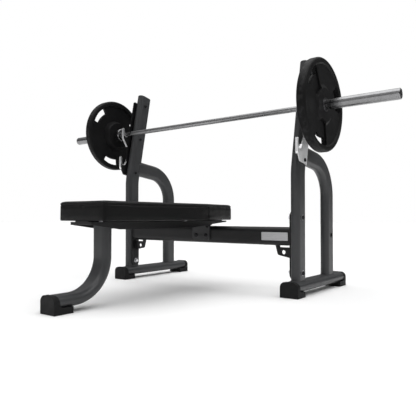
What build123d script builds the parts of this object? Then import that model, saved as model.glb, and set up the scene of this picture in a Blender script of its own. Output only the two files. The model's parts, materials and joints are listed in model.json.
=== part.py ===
from build123d import *
import math
import os

# Olympic flat bench press with a loaded barbell in its upper catches.
# X runs along the barbell, +Y towards the uprights, +Z up. The floor is z = 0 and the
# origin is the middle of the bounding box seen from above. Millimetres.

os.makedirs("parts", exist_ok=True)

# ---- frame tube: flat oval, used for every frame member ----
OVAL_LONG = 95
OVAL_SHORT = 50
WALL = 3

# ---- base tubes, one under each upright ----
SIDE_X = 592
BASE_Z = 50
BASE_FRONT_Y = 160.5
BASE_REAR_Y = 772.5
BASE_TOP_Z = BASE_Z + OVAL_SHORT / 2

# ---- uprights ----
UPRIGHT_Y = 263.5
LEAN_DEG = 11
LEAN_SLOPE = math.tan(math.radians(LEAN_DEG))
KNEE_Z = 625
KNEE_RADIUS = 300
UPRIGHT_TOP_Z = 1186
UPRIGHT_OUTER_X = SIDE_X + OVAL_SHORT / 2
UPRIGHT_INNER_X = SIDE_X - OVAL_SHORT / 2

# ---- rear legs ----
REAR_LEG_Y = 616.5
REAR_LEG_RADIUS = 185
REAR_LEG_CORNER_Z = 671.7
REAR_LEG_RISE = math.tan(math.radians(7))
PLUG_Y = 620.5
PLUG_Z = 293
PLUG_RADIUS = 16
PLUG_STEM_RADIUS = 13
PLUG_BORE_RADIUS = 11
PLUG_STEM = 12
PLUG_RIM = 1.5
PLUG_ROUND = 1

# ---- upright top caps ----
CAP_THICK = 6
CAP_ROUND = 4
CAP_PLUG_DEPTH = 16
CAP_PLUG_WALL = 2.5

# ---- front leg ----
FRONT_LEG_Y = -487.5
FRONT_LEG_RADIUS = 170
FRONT_END_Y = -772.5

# ---- rubber foot caps ----
CAP_END = 3
CAP_SKIN = 2
CAP_SLEEVE_TOP = 22
CAP_SLEEVE_FOOT = 30
CAP_NOTCH_REACH = 42
CAP_NOTCH_Z = 34
CAP_BLOCK_TOP = 28
REAR_BLOCK_LENGTH = 86
FRONT_BLOCK_LENGTH = 94
CAP_CORNER_RADIUS = 4

# ---- crossbeam with its end plates and band gussets ----
BEAM_Z = 295.5
BEAM_END_X = 559
FLANGE_THICK = 8
FLANGE_WIDTH = 60
FLANGE_BOTTOM_Z = 85
FLANGE_TOP_Z = 418
FLANGE_CHAMFER = 13
FLANGE_BOLT_ZS = (114.5, 391)
BOLT_HOLE_RADIUS = 6.5
BEAM_FRONT_Y = UPRIGHT_Y - OVAL_SHORT / 2
BEAM_REAR_Y = UPRIGHT_Y + OVAL_SHORT / 2
BEAM_BOTTOM_Z = BEAM_Z - OVAL_LONG / 2
GUSSET_THICK = 8
GUSSET_TUCK = 2
GUSSET_INNER_X = 465
GUSSET_TOE_X = 479
GUSSET_TOE_Z = 199
GUSSET_HEEL_Z = 184
GUSSET_TOE_RADIUS = 12
BAND_HOLE_X = 512
BAND_HOLE_Z = 214
BAND_HOLE_RADIUS = 11
SLIT_START_X = 490
SLIT_END_X = 552
SLIT_BOTTOM_Z = 239
BADGE_START_X = 396
BADGE_END_X = 548
BADGE_HEIGHT = 42
BADGE_THICK = 2
BADGE_CORNER = 3
BADGE_CENTRE_Z = 294.5

# ---- bench tray ----
TRAY_HALF_WIDTH = 75
TRAY_FRONT_Y = -608.5
TRAY_REAR_Y = 382.5
TRAY_TOP_Z = 372
TRAY_BOTTOM_Z = 338
TRAY_WALL = 4
TRAY_FRONT_DEPTH = 12
TRAY_REAR_DEPTH = 7
TRAY_BEVEL_LENGTH = 160
TRAY_DEEP_END_Y = 60
TRAY_CORNER_RADIUS = 8
BRACKET_THICK = 8
BRACKET_HALF_WIDTH = 62
BRACKET_BOTTOM_Z = 264
BRACKET_CORNER = 15
BRACKET_BOLT_X = 35
BRACKET_BOLT_Z = 290
BRACKET_RIB_X = 45
BRACKET_RIB_THICK = 6
BRACKET_RIB_REACH = 60
BRACKET_RIB_FRONT_Z = 330
BRACKET_RIB_REAR_Z = 358

# ---- pad ----
PAD_HALF_WIDTH = 150
PAD_HEAD_HALF_WIDTH = 100
PAD_FRONT_Y = -605.5
PAD_TAPER_Y = 106.5
PAD_REAR_Y = 389.5
PAD_BOTTOM_Z = 379
PAD_EDGE_TOP_Z = 459
BOARD_THICK = 18
BOARD_INSET = 10
PAD_FRONT_CORNER = 14
PAD_KNEE_RADIUS = 12
PAD_REAR_CORNER = 18
PAD_TOP_ROUND = 10
PAD_BOTTOM_ROUND = 4
RAIL_HALF_WIDTH = 45
RAIL_END_INSET = 6
PAD_BOLT_X = 58
PAD_BOLT_YS = (-546.5, 25.5)
PAD_BOLT_SPOTS = [(x, y) for x in (-PAD_BOLT_X, PAD_BOLT_X) for y in PAD_BOLT_YS]
M8_RADIUS = 4
M8_HOLE_RADIUS = 4.5
SPACER_RADIUS = 8.5
T_NUT_FLANGE_RADIUS = 11
T_NUT_FLANGE_THICK = 1.5
T_NUT_BARREL_RADIUS = 5.5
T_NUT_LENGTH = 11

# ---- barbell ----
BAR_Y = 234.7
BAR_Z = 929.6
SHAFT_RADIUS = 14
SLEEVE_RADIUS = 25
BAR_HALF_LENGTH = 1100
COLLAR_INNER_X = 655
COLLAR_OUTER_X = 689
COLLAR_RADIUS = 39
SLEEVE_BORE_RADIUS = 17
RUNNING_GAP = 0.05
END_PLAY = 0.3
EDGE_CHAMFER = 3
EDGE_BREAK = 1
SHOULDER_RADIUS = 20
SHOULDER_WIDTH = 4
BUSHING_LENGTH = 40
OUTER_BUSHING_X = 1036
RING_RADIUS = 16.5
RING_GROOVE_RADIUS = 12.5
RING_THICK = 2
SHAFT_END_X = 1084
END_DISC_X = 1090
END_DISC_THICK = 8

# ---- weight plate ----
PLATE_RADIUS = 225
HUB_INNER_X = 689.5
HUB_OUTER_X = 755.5
HUB_RECESS = 1
HUB_FLAT_RADIUS = 80
HUB_FOOT_RADIUS = 96
INSERT_RADIUS = 34
PLATE_BORE_RADIUS = SLEEVE_RADIUS + 0.3
RIM_INNER_X = 706
RIM_OUTER_X = 752
RIM_ROUND = 12
RIM_FOOT_RADIUS = 193
RIM_FLAT_RADIUS = 199
WEB_INNER_X = 722
WEB_OUTER_X = 746
DISH_FLOOR_X = 738
DISH_INNER_RADIUS = 78
DISH_HALF_SPAN_DEG = 21
DISH_CORNER = 12
SLOT_INNER_RADIUS = 155
SLOT_OUTER_RADIUS = 192
SLOT_HALF_SPAN_DEG = 18
SLOT_CORNER = 5
SLOT_ANGLES_DEG = (18, 138, 258)
DISH_OVERLAP = 2

# ---- catches on the uprights ----
HOOK_THICK = 8
GUARD_THICK = 3
STRIP_THICK = 3
STRIP_WIDTH = 14
STRIP_BEND = 8
CATCH_RADIUS = 16
CATCH_LIP_HEIGHT = 30
CATCH_LIP_THICK = 5
CATCH_RAMP_DEG = 60
CATCH_RAMP_LENGTH = 17
SEAT_GAP = 0.3
UPPER_CATCH = (BAR_Y, BAR_Z - SHAFT_RADIUS - SEAT_GAP + CATCH_RADIUS)
LOWER_CATCH = (212.7, 746.3)
UPPER_KNEE_Z = 905
UPPER_TAIL = (244, 850)
LOWER_KNEE_Z = 712
LOWER_TAIL = (192.2, 703.3)
HOOK_WAIST = (243.5, 800)
HOOK_TOE = (212.5, 668)
HOOK_HEEL_Z = 653
HOOK_FRONT_AHEAD = 60
HOOK_REAR_AHEAD = -20
HOOK_FRONT_START_Z = 955
HOOK_TOP_FRONT_Z = 1156
HOOK_TOP_REAR_Z = 1141
HOOK_TOP_ROUND = 10
GUARD_TOP_Z = 880
GUARD_TRIM = 1
GUARD_TOP_AHEAD = 22
GUARD_FRONT = ((266.5, 812), (241.5, 769), (180, 720))
HOOK_SCREW_ZS = (678, 901, 1127)
HOOK_SCREW_AHEAD = 5
SCREW_HOLE_RADIUS = 5.5

# ---- fasteners ----
M12_RADIUS = 6
M12_HEAD_RADIUS = 11
M12_HEAD_HEIGHT = 6.5
M12_WASHER_RADIUS = 13
M12_NUT_RADIUS = 10.4
M12_NUT_HEIGHT = 14
M10_RADIUS = 5
M10_HEAD_RADIUS = 9
M10_HEAD_HEIGHT = 5
M10_NUT_RADIUS = 8.5
M10_NUT_HEIGHT = 8
M8_HEAD_RADIUS = 7.5
M8_HEAD_HEIGHT = 5.3
M8_WASHER_RADIUS = 10
WASHER_THICK = 2
SOCKET_SHARE = 0.45
NUT_ROUND = 2
NUT_END_WALL = 1
SHANK_IN_NUT = 10
HEAD_ROUND_SHARE = 0.7
PAD_BOLT_LENGTH = 27


def save(name, piece):
    """Label a finished piece and write it under the same name."""
    piece.part.label = name
    export_step(piece.part, f"parts/{name}.step")


def save_pair(name, right):
    """Write a right-hand piece and its mirror image on the left."""
    with BuildPart() as left:
        mirror(right.part, about=Plane.YZ)
    save(f"{name}_right", right)
    save(f"{name}_left", left)


def save_group(name, solids, mirrored=False):
    """Write loose solids, and their mirror images if asked, as one node."""
    with BuildPart() as group:
        add(solids)
        if mirrored:
            mirror(solids, about=Plane.YZ)
    save(name, group)


def lean_y(z, ahead=0):
    """Y of the leaning part of an upright at height z, a distance ahead of its axis."""
    return UPRIGHT_Y + (z - KNEE_Z) * LEAN_SLOPE - ahead


def oval_bar(axis_points, bend_radius, x, inset, turned):
    """Oval bar swept along a bent axis in a plane of constant X, starting vertically."""
    start_y, start_z = axis_points[0]
    with BuildPart() as bar:
        with BuildLine(Plane.YZ.offset(x)) as axis:
            FilletPolyline(*axis_points, radius=bend_radius)
        with BuildSketch(Plane.XY.offset(start_z)):
            with Locations((x, start_y)):
                SlotOverall(OVAL_LONG - 2 * inset, OVAL_SHORT - 2 * inset, rotation=turned)
        sweep(path=axis.wires()[0])
    return bar


# ---------------------------------------------------------------- frame tubes

HOOK_SCREW_SPOTS = [(lean_y(z, HOOK_SCREW_AHEAD), z) for z in HOOK_SCREW_ZS]
FLANGE_BOLT_SPOTS = [(UPRIGHT_Y, z) for z in FLANGE_BOLT_ZS]

upright_axis = (
    (UPRIGHT_Y, BASE_TOP_Z),
    (UPRIGHT_Y, KNEE_Z),
    (lean_y(UPRIGHT_TOP_Z), UPRIGHT_TOP_Z),
)
upright_envelope = oval_bar(upright_axis, KNEE_RADIUS, SIDE_X, 0, 90)
upright_bore = oval_bar(upright_axis, KNEE_RADIUS, SIDE_X, WALL, 90)
with BuildPart() as upright:
    add(upright_envelope.part)
    add(upright_bore.part, mode=Mode.SUBTRACT)
    with BuildSketch(Plane.YZ.offset(SIDE_X)):
        with Locations(*FLANGE_BOLT_SPOTS):
            Circle(BOLT_HOLE_RADIUS)
        with Locations(*HOOK_SCREW_SPOTS):
            Circle(SCREW_HOLE_RADIUS)
    extrude(amount=OVAL_SHORT, both=True, mode=Mode.SUBTRACT)
save_pair("upright", upright)

# The cap sits square to the leaning axis, with a thin-walled plug inside the tube.
lean = math.radians(LEAN_DEG)
tube_end = Plane(
    origin=(SIDE_X, lean_y(UPRIGHT_TOP_Z), UPRIGHT_TOP_Z),
    x_dir=(1, 0, 0),
    z_dir=(0, math.sin(lean), math.cos(lean)),
)
plug_inset = WALL + CAP_PLUG_WALL
with BuildPart() as top_cap:
    with BuildSketch(tube_end):
        SlotOverall(OVAL_LONG, OVAL_SHORT, rotation=90)
    extrude(amount=CAP_THICK)
    crown = top_cap.faces().sort_by(Axis(tube_end.origin, tube_end.z_dir))[-1]
    fillet(crown.edges(), CAP_ROUND)
    with BuildSketch(tube_end):
        SlotOverall(OVAL_LONG - 2 * WALL, OVAL_SHORT - 2 * WALL, rotation=90)
        SlotOverall(
            OVAL_LONG - 2 * plug_inset,
            OVAL_SHORT - 2 * plug_inset,
            rotation=90,
            mode=Mode.SUBTRACT,
        )
    extrude(amount=-CAP_PLUG_DEPTH)
save_pair("upright_top_cap", top_cap)

# Rear leg: straight up from the base tube, one wide bend, then a gentle rise to the
# upright, where its end is coped to the upright's oval.
rear_leg_run = REAR_LEG_Y - UPRIGHT_Y
rear_leg_axis = (
    (REAR_LEG_Y, BASE_TOP_Z),
    (REAR_LEG_Y, REAR_LEG_CORNER_Z),
    (REAR_LEG_Y - rear_leg_run, REAR_LEG_CORNER_Z + rear_leg_run * REAR_LEG_RISE),
)
rear_leg_bar = oval_bar(rear_leg_axis, REAR_LEG_RADIUS, SIDE_X, 0, 90)
rear_leg_bore = oval_bar(rear_leg_axis, REAR_LEG_RADIUS, SIDE_X, WALL, 90)
with BuildPart() as uncut_leg:
    add(rear_leg_bar.part)
    add(rear_leg_bore.part, mode=Mode.SUBTRACT)
    add(upright_envelope.part, mode=Mode.SUBTRACT)
    with BuildSketch(Plane.YZ.offset(UPRIGHT_OUTER_X)):
        with Locations((PLUG_Y, PLUG_Z)):
            Circle(PLUG_STEM_RADIUS)
    extrude(amount=-2 * WALL, mode=Mode.SUBTRACT)
# Coping leaves loose scraps inside the upright's line, so only the leg itself is kept.
with BuildPart() as rear_leg:
    add(uncut_leg.solids().sort_by(SortBy.VOLUME)[-1])
save_pair("rear_leg", rear_leg)

# The plug is a thin-rimmed cup, pushed into the hole in the leg's outer flat.
with BuildPart() as leg_plug:
    with BuildSketch(Plane.YZ.offset(UPRIGHT_OUTER_X)):
        with Locations((PLUG_Y, PLUG_Z)):
            Circle(PLUG_RADIUS)
    extrude(amount=PLUG_RIM)
    fillet(leg_plug.faces().sort_by(Axis.X)[-1].edges(), PLUG_ROUND)
    with BuildSketch(Plane.YZ.offset(UPRIGHT_OUTER_X)):
        with Locations((PLUG_Y, PLUG_Z)):
            Circle(PLUG_STEM_RADIUS)
    extrude(amount=-PLUG_STEM)
    with BuildSketch(Plane.YZ.offset(UPRIGHT_OUTER_X + PLUG_RIM)):
        with Locations((PLUG_Y, PLUG_Z)):
            Circle(PLUG_BORE_RADIUS)
    extrude(amount=-PLUG_STEM, mode=Mode.SUBTRACT)
save_pair("rear_leg_plug", leg_plug)

# Base tubes lie flat under the uprights and rear legs.
with BuildPart() as base_tube:
    with BuildSketch(Plane.XZ.offset(-BASE_FRONT_Y - CAP_END)):
        with Locations((SIDE_X, BASE_Z)):
            SlotOverall(OVAL_LONG, OVAL_SHORT)
            SlotOverall(OVAL_LONG - 2 * WALL, OVAL_SHORT - 2 * WALL, mode=Mode.SUBTRACT)
    extrude(amount=-(BASE_REAR_Y - BASE_FRONT_Y - 2 * CAP_END))
save_pair("base_tube", base_tube)

# Front leg: down from the tray, one wide bend, then forwards along the floor.
front_leg_axis = (
    (FRONT_LEG_Y, TRAY_TOP_Z - TRAY_WALL),
    (FRONT_LEG_Y, BASE_Z),
    (FRONT_END_Y + CAP_END, BASE_Z),
)
front_leg_bar = oval_bar(front_leg_axis, FRONT_LEG_RADIUS, 0, 0, 0)
front_leg_bore = oval_bar(front_leg_axis, FRONT_LEG_RADIUS, 0, WALL, 0)
with BuildPart() as front_leg:
    add(front_leg_bar.part)
    add(front_leg_bore.part, mode=Mode.SUBTRACT)
save("front_leg", front_leg)


# ---------------------------------------------------------------- rubber foot caps

def foot_cap(x, end_y, inward, block_length):
    """Rubber shoe: a short sleeve over the tube's end, standing on a longer thick block."""
    outer_long = OVAL_LONG + 2 * CAP_SKIN
    outer_short = OVAL_SHORT + 2 * CAP_SKIN
    top_z = BASE_Z + outer_short / 2
    heel_y = end_y + inward * block_length
    with BuildPart() as cap:
        with BuildSketch(Plane.XZ.offset(-end_y)):
            with Locations((x, BASE_Z)):
                SlotOverall(outer_long, outer_short)
            with Locations((x, BASE_Z / 2)):
                Rectangle(outer_long, BASE_Z)
        extrude(amount=-inward * block_length)
        with BuildSketch(Plane.YZ.offset(x)):
            with BuildLine():
                Polyline(
                    (end_y, 0),
                    (heel_y, 0),
                    (heel_y, CAP_BLOCK_TOP),
                    (end_y + inward * CAP_NOTCH_REACH, CAP_BLOCK_TOP),
                    (end_y + inward * CAP_SLEEVE_FOOT, CAP_NOTCH_Z),
                    (end_y + inward * CAP_SLEEVE_TOP, top_z),
                    (end_y, top_z),
                    close=True,
                )
            make_face()
        extrude(amount=outer_long, both=True, mode=Mode.INTERSECT)
        fillet(cap.edges().filter_by(Axis.Z), CAP_CORNER_RADIUS)
        fillet(cap.faces().sort_by(Axis.Z)[0].edges(), CAP_SKIN)
        with BuildSketch(Plane.XZ.offset(-end_y - inward * CAP_END)):
            with Locations((x, BASE_Z)):
                SlotOverall(OVAL_LONG, OVAL_SHORT)
        extrude(amount=-inward * block_length, mode=Mode.SUBTRACT)
    return cap


save_pair("base_cap_front", foot_cap(SIDE_X, BASE_FRONT_Y, 1, REAR_BLOCK_LENGTH))
save_pair("base_cap_rear", foot_cap(SIDE_X, BASE_REAR_Y, -1, REAR_BLOCK_LENGTH))
save("front_foot_cap", foot_cap(0, FRONT_END_Y, 1, FRONT_BLOCK_LENGTH))


# ---------------------------------------------------------------- crossbeam

BRACKET_BOLT_SPOTS = [(-BRACKET_BOLT_X, BRACKET_BOLT_Z), (BRACKET_BOLT_X, BRACKET_BOLT_Z)]

with BuildPart() as beam_envelope:
    with BuildSketch(Plane.YZ):
        with Locations((UPRIGHT_Y, BEAM_Z)):
            SlotOverall(OVAL_LONG, OVAL_SHORT, rotation=90)
    extrude(amount=BEAM_END_X, both=True)

with BuildPart() as crossbeam:
    add(beam_envelope.part)
    with BuildSketch(Plane.YZ):
        with Locations((UPRIGHT_Y, BEAM_Z)):
            SlotOverall(OVAL_LONG - 2 * WALL, OVAL_SHORT - 2 * WALL, rotation=90)
    extrude(amount=BEAM_END_X, both=True, mode=Mode.SUBTRACT)
    with BuildSketch(Plane.XZ.offset(-UPRIGHT_Y)):
        with Locations(*BRACKET_BOLT_SPOTS):
            Circle(BOLT_HOLE_RADIUS)
    extrude(amount=OVAL_SHORT, both=True, mode=Mode.SUBTRACT)
save("crossbeam", crossbeam)

with BuildPart() as flange:
    with BuildSketch(Plane.YZ.offset(BEAM_END_X)):
        with Locations((UPRIGHT_Y, (FLANGE_BOTTOM_Z + FLANGE_TOP_Z) / 2)):
            Rectangle(FLANGE_WIDTH, FLANGE_TOP_Z - FLANGE_BOTTOM_Z)
        with Locations(*FLANGE_BOLT_SPOTS):
            Circle(BOLT_HOLE_RADIUS, mode=Mode.SUBTRACT)
    extrude(amount=FLANGE_THICK)
    chamfer(flange.edges().filter_by(Axis.X).filter_by(GeomType.LINE), FLANGE_CHAMFER)
save_pair("flange_plate", flange)

# Band gussets close the corner under the beam. Each has a band hole, and a slit along
# the beam's underside.
with BuildPart() as gusset:
    with BuildSketch(Plane.XZ.offset(-UPRIGHT_Y)) as outline:
        with BuildLine():
            Polyline(
                (GUSSET_INNER_X, BEAM_BOTTOM_Z + GUSSET_TUCK),
                (GUSSET_TOE_X, GUSSET_TOE_Z),
                (BEAM_END_X, GUSSET_HEEL_Z),
                (BEAM_END_X, BEAM_BOTTOM_Z + GUSSET_TUCK),
                close=True,
            )
        make_face()
        toe_corner = outline.vertices().sort_by(Axis.X).sort_by(Axis.Z)[1]
        fillet(toe_corner, GUSSET_TOE_RADIUS)
        with Locations((BAND_HOLE_X, BAND_HOLE_Z)):
            Circle(BAND_HOLE_RADIUS, mode=Mode.SUBTRACT)
        with Locations(((SLIT_START_X + SLIT_END_X) / 2, SLIT_BOTTOM_Z)):
            Rectangle(
                SLIT_END_X - SLIT_START_X,
                BEAM_Z - SLIT_BOTTOM_Z,
                align=(Align.CENTER, Align.MIN),
                mode=Mode.SUBTRACT,
            )
    extrude(amount=GUSSET_THICK / 2, both=True)
    add(beam_envelope.part, mode=Mode.SUBTRACT)
save_pair("band_gusset", gusset)

# Blank plate on the beam's front flat.
with BuildPart() as badge:
    with BuildSketch(Plane.XZ.offset(-BEAM_FRONT_Y)):
        with Locations(((BADGE_START_X + BADGE_END_X) / 2, BADGE_CENTRE_Z)):
            RectangleRounded(BADGE_END_X - BADGE_START_X, BADGE_HEIGHT, BADGE_CORNER)
    extrude(amount=BADGE_THICK)
save("badge_plate", badge)


# ---------------------------------------------------------------- tray and bracket

# A folded channel, open below: deep in the middle, thin at both ends.
with BuildPart() as tray:
    with BuildSketch(Plane.YZ):
        with BuildLine():
            Polyline(
                (TRAY_FRONT_Y, TRAY_TOP_Z),
                (TRAY_FRONT_Y, TRAY_TOP_Z - TRAY_FRONT_DEPTH),
                (TRAY_FRONT_Y + TRAY_BEVEL_LENGTH, TRAY_BOTTOM_Z),
                (TRAY_DEEP_END_Y, TRAY_BOTTOM_Z),
                (TRAY_REAR_Y, TRAY_TOP_Z - TRAY_REAR_DEPTH),
                (TRAY_REAR_Y, TRAY_TOP_Z),
                close=True,
            )
        make_face()
    extrude(amount=TRAY_HALF_WIDTH, both=True)
    fillet(tray.edges().filter_by(Axis.Z), TRAY_CORNER_RADIUS)
    with BuildSketch(Plane.XY.offset(TRAY_TOP_Z - TRAY_WALL)):
        with Locations((0, (TRAY_FRONT_Y + TRAY_REAR_Y) / 2)):
            RectangleRounded(
                2 * (TRAY_HALF_WIDTH - TRAY_WALL),
                TRAY_REAR_Y - TRAY_FRONT_Y - 2 * TRAY_WALL,
                TRAY_CORNER_RADIUS - TRAY_WALL,
            )
    extrude(amount=-TRAY_TOP_Z, mode=Mode.SUBTRACT)
    with BuildSketch(Plane.XY.offset(TRAY_TOP_Z)):
        with Locations(*PAD_BOLT_SPOTS):
            Circle(M8_HOLE_RADIUS)
    extrude(amount=-2 * TRAY_WALL, mode=Mode.SUBTRACT)
save("pad_tray", tray)

# The bracket hangs from the tray's deck and bolts to the beam's front. Two ribs, cut to
# fit over the beam, stiffen it under the deck.
deck_z = TRAY_TOP_Z - TRAY_WALL
bracket_front_y = BEAM_FRONT_Y - BRACKET_THICK
with BuildPart() as bracket:
    with BuildSketch(Plane.XZ.offset(-BEAM_FRONT_Y)):
        with Locations((0, BRACKET_BOTTOM_Z)):
            Rectangle(
                2 * BRACKET_HALF_WIDTH,
                deck_z - BRACKET_BOTTOM_Z,
                align=(Align.CENTER, Align.MIN),
            )
        with Locations(*BRACKET_BOLT_SPOTS):
            Circle(BOLT_HOLE_RADIUS, mode=Mode.SUBTRACT)
    extrude(amount=BRACKET_THICK)
    fillet(bracket.edges().filter_by(Axis.Y).filter_by(GeomType.LINE).group_by(Axis.Z)[0], BRACKET_CORNER)
    for rib_x in (-BRACKET_RIB_X, BRACKET_RIB_X):
        with BuildSketch(Plane.YZ.offset(rib_x)):
            with BuildLine():
                Polyline(
                    (bracket_front_y - BRACKET_RIB_REACH, deck_z),
                    (bracket_front_y, BRACKET_RIB_FRONT_Z),
                    (BEAM_REAR_Y, BRACKET_RIB_REAR_Z),
                    (BEAM_REAR_Y + BRACKET_RIB_REACH, deck_z),
                    close=True,
                )
            make_face()
        extrude(amount=BRACKET_RIB_THICK / 2, both=True)
    add(beam_envelope.part, mode=Mode.SUBTRACT)
save("tray_bracket", bracket)


# ---------------------------------------------------------------- pad

def pad_outline(inset):
    """Plan of the pad: straight sides, tapered to the head end, rounded corners."""
    with BuildSketch() as plan:
        with BuildLine():
            Polyline(
                (-PAD_HALF_WIDTH, PAD_FRONT_Y),
                (PAD_HALF_WIDTH, PAD_FRONT_Y),
                (PAD_HALF_WIDTH, PAD_TAPER_Y),
                (PAD_HEAD_HALF_WIDTH, PAD_REAR_Y),
                (-PAD_HEAD_HALF_WIDTH, PAD_REAR_Y),
                (-PAD_HALF_WIDTH, PAD_TAPER_Y),
                close=True,
            )
        make_face()
        front, knees, rear = plan.vertices().group_by(Axis.Y)
        fillet(front, PAD_FRONT_CORNER)
        fillet(knees, PAD_KNEE_RADIUS)
        fillet(rear, PAD_REAR_CORNER)
        if inset:
            offset(amount=-inset, mode=Mode.REPLACE)
    return Pos(0, 0, PAD_BOTTOM_Z) * plan.sketch


board_top_z = PAD_BOTTOM_Z + BOARD_THICK
with BuildPart() as board_envelope:
    extrude(pad_outline(BOARD_INSET), amount=BOARD_THICK)

with BuildPart() as board:
    add(board_envelope.part)
    with BuildSketch(Plane.XY.offset(board_top_z)):
        with Locations(*PAD_BOLT_SPOTS):
            Circle(T_NUT_BARREL_RADIUS)
    extrude(amount=-BOARD_THICK, mode=Mode.SUBTRACT)
    with BuildSketch(Plane.XY.offset(board_top_z)):
        with Locations(*PAD_BOLT_SPOTS):
            Circle(T_NUT_FLANGE_RADIUS)
    extrude(amount=-T_NUT_FLANGE_THICK, mode=Mode.SUBTRACT)
save("pad_board", board)

with BuildPart() as cushion:
    extrude(pad_outline(0), amount=PAD_EDGE_TOP_Z - PAD_BOTTOM_Z)
    fillet(cushion.faces().sort_by(Axis.Z)[-1].edges(), PAD_TOP_ROUND)
    fillet(cushion.faces().sort_by(Axis.Z)[0].edges(), PAD_BOTTOM_ROUND)
    add(board_envelope.part, mode=Mode.SUBTRACT)
save("pad_cushion", cushion)


# A black strip fills the gap between the tray's deck and the pad.
with BuildPart() as pad_rail:
    with BuildSketch(Plane.XY.offset(TRAY_TOP_Z)):
        with Locations((0, (TRAY_FRONT_Y + TRAY_REAR_Y) / 2)):
            Rectangle(2 * RAIL_HALF_WIDTH, TRAY_REAR_Y - TRAY_FRONT_Y - 2 * RAIL_END_INSET)
    extrude(amount=PAD_BOTTOM_Z - TRAY_TOP_Z)
save("pad_rail", pad_rail)


# ---------------------------------------------------------------- fasteners

def disc_set(plane, spots, radius, bore, height):
    """Flat rings standing on a plane: washers and spacers."""
    with BuildPart() as discs:
        with BuildSketch(plane):
            with Locations(*spots):
                Circle(radius)
                Circle(bore, mode=Mode.SUBTRACT)
        extrude(amount=height)
    return discs


def bolt_set(plane, spots, shank_radius, head_radius, head_height, shank_length, out=1):
    """Button-head bolts whose heads stand out from the plane; shanks run back through it."""
    normal = Axis(plane.origin, plane.z_dir * out)
    with BuildPart() as bolts:
        with BuildSketch(plane):
            with Locations(*spots):
                Circle(head_radius)
        extrude(amount=out * head_height)
        fillet(bolts.faces().group_by(normal)[-1].edges(), head_height * HEAD_ROUND_SHARE)
        with BuildSketch(plane.offset(out * head_height)):
            with Locations(*spots):
                RegularPolygon(head_radius * SOCKET_SHARE, 6)
        extrude(amount=-out * head_height / 2, mode=Mode.SUBTRACT)
        with BuildSketch(plane):
            with Locations(*spots):
                Circle(shank_radius)
        extrude(amount=-out * shank_length)
    return bolts


def nut_set(plane, spots, bore, radius, height, out=1):
    """Closed hexagon nuts standing out from the plane, rounded at the free end."""
    normal = Axis(plane.origin, plane.z_dir * out)
    with BuildPart() as nuts:
        with BuildSketch(plane):
            with Locations(*spots):
                RegularPolygon(radius, 6)
        extrude(amount=out * height)
        fillet(nuts.faces().group_by(normal)[-1].edges(), NUT_ROUND)
        with BuildSketch(plane):
            with Locations(*spots):
                Circle(bore)
        extrude(amount=out * (height - NUT_ROUND - NUT_END_WALL), mode=Mode.SUBTRACT)
    return nuts


# Crossbeam bolts run through the upright and the flange plate.
outer_seat = Plane.YZ.offset(UPRIGHT_OUTER_X)
inner_seat = Plane.YZ.offset(BEAM_END_X)
outer_washers = disc_set(
    outer_seat, FLANGE_BOLT_SPOTS, M12_WASHER_RADIUS, BOLT_HOLE_RADIUS, WASHER_THICK
)
inner_washers = disc_set(
    inner_seat, FLANGE_BOLT_SPOTS, M12_WASHER_RADIUS, BOLT_HOLE_RADIUS, -WASHER_THICK
)
save_group("flange_washers", [outer_washers.part, inner_washers.part], mirrored=True)
flange_bolts = bolt_set(
    outer_seat.offset(WASHER_THICK),
    FLANGE_BOLT_SPOTS,
    M12_RADIUS,
    M12_HEAD_RADIUS,
    M12_HEAD_HEIGHT,
    UPRIGHT_OUTER_X - BEAM_END_X + 2 * WASHER_THICK + SHANK_IN_NUT,
)
save_group("flange_bolts", [flange_bolts.part], mirrored=True)
flange_nuts = nut_set(
    inner_seat.offset(-WASHER_THICK),
    FLANGE_BOLT_SPOTS,
    M12_RADIUS,
    M12_NUT_RADIUS,
    M12_NUT_HEIGHT,
    out=-1,
)
save_group("flange_nuts", [flange_nuts.part], mirrored=True)

# Bracket bolts run through the bracket and the beam.
front_seat = Plane.XZ.offset(-bracket_front_y)
rear_seat = Plane.XZ.offset(-BEAM_REAR_Y)
bracket_bolts = bolt_set(
    front_seat,
    BRACKET_BOLT_SPOTS,
    M12_RADIUS,
    M12_HEAD_RADIUS,
    M12_HEAD_HEIGHT,
    BEAM_REAR_Y - bracket_front_y + WASHER_THICK + SHANK_IN_NUT,
)
save("bracket_bolts", bracket_bolts)
bracket_washers = disc_set(
    rear_seat, BRACKET_BOLT_SPOTS, M12_WASHER_RADIUS, BOLT_HOLE_RADIUS, -WASHER_THICK
)
save("bracket_washers", bracket_washers)
bracket_nuts = nut_set(
    rear_seat.offset(-WASHER_THICK),
    BRACKET_BOLT_SPOTS,
    M12_RADIUS,
    M12_NUT_RADIUS,
    M12_NUT_HEIGHT,
    out=-1,
)
save("bracket_nuts", bracket_nuts)

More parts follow.
